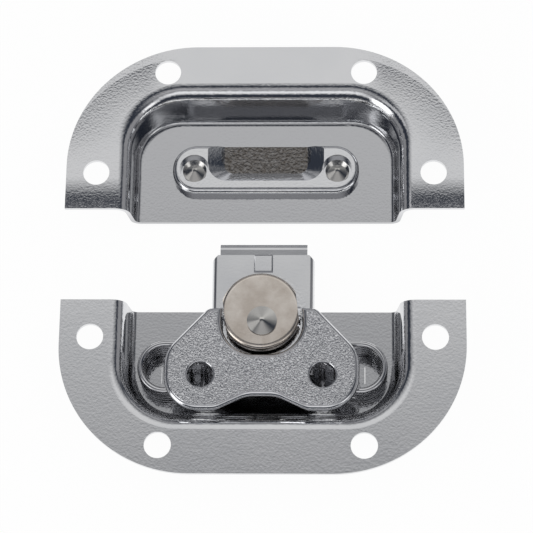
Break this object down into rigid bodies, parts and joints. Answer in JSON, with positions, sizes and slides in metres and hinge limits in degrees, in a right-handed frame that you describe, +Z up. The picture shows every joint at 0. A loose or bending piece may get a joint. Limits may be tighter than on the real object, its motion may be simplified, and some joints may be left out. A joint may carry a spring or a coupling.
{
  "type": "butterfly latch",
  "caption": "Recessed butterfly latch pair for a case: a dished latch half with a folding winged turn handle, cam and sprung hook, and a dished keeper half with a strike plate.",
  "frame": {"origin": "middle of the pair at the level of the dish floors' undersides, centred between the halves", "axes": "X across the latch, +Y from the latch half to the keeper half, +Z up out of the dishes"},
  "size_m": [0.112, 0.126, 0.0171],
  "materials": {
    "chromed_sheet": "bright",
    "handle_chrome": "bright, grainy",
    "nickel_disc": "satin",
    "spring_wire": "bright wire",
    "rivet_steel": "bright"
  },
  "bodies": {
    "base": {"latch_dish": "chromed_sheet", "pivot_rivet": "rivet_steel", "base_washer": "rivet_steel", "coil_spring_left": "spring_wire", "coil_spring_right": "spring_wire"},
    "rotor": {"eccentric_cam": "rivet_steel", "hinge_yoke": "chromed_sheet", "cap_disc": "nickel_disc", "hinge_pin_left": "rivet_steel", "hinge_pin_right": "rivet_steel"},
    "handle": {"butterfly_handle": "handle_chrome"},
    "slide": {"slide_channel": "chromed_sheet"},
    "hook": {"hook_plate": "chromed_sheet"},
    "keeper": {"keeper_dish": "chromed_sheet", "strike_plate": "chromed_sheet", "strike_rivet_left": "rivet_steel", "strike_rivet_right": "rivet_steel"}
  },
  "joints": [
    {"name": "handle_turn", "type": "hinge", "parent": "base", "child": "rotor", "pos_m": [0, -0.0207, 0.0101], "axis": [0, 0, 1], "range_deg": [0, 180]},
    {"name": "slider_draw", "type": "slide", "parent": "base", "child": "slide", "axis": [0, 1, 0], "range_m": [0, 0.005]},
    {"name": "hook_tilt", "type": "hinge", "parent": "slide", "child": "hook", "pos_m": [0, -0.0277, 0.0056], "axis": [-1, 0, 0], "range_deg": [0, 4.5], "stiffness_Nm_per_rad": 0.3, "springref_deg": -5.73},
    {"name": "handle_fold", "type": "hinge", "parent": "rotor", "child": "handle", "pos_m": [0, -0.0178, 0.0125], "axis": [-1, 0, 0], "range_deg": [0, 90]},
    {"name": "keeper_travel", "type": "slide", "parent": "base", "child": "keeper", "axis": [0, -1, 0], "range_m": [0, 0.025]}
  ],
  "couplings": [
    {"joint": "slider_draw", "follows": "handle_turn", "m_per_rad": 0.0015915}
  ]
}
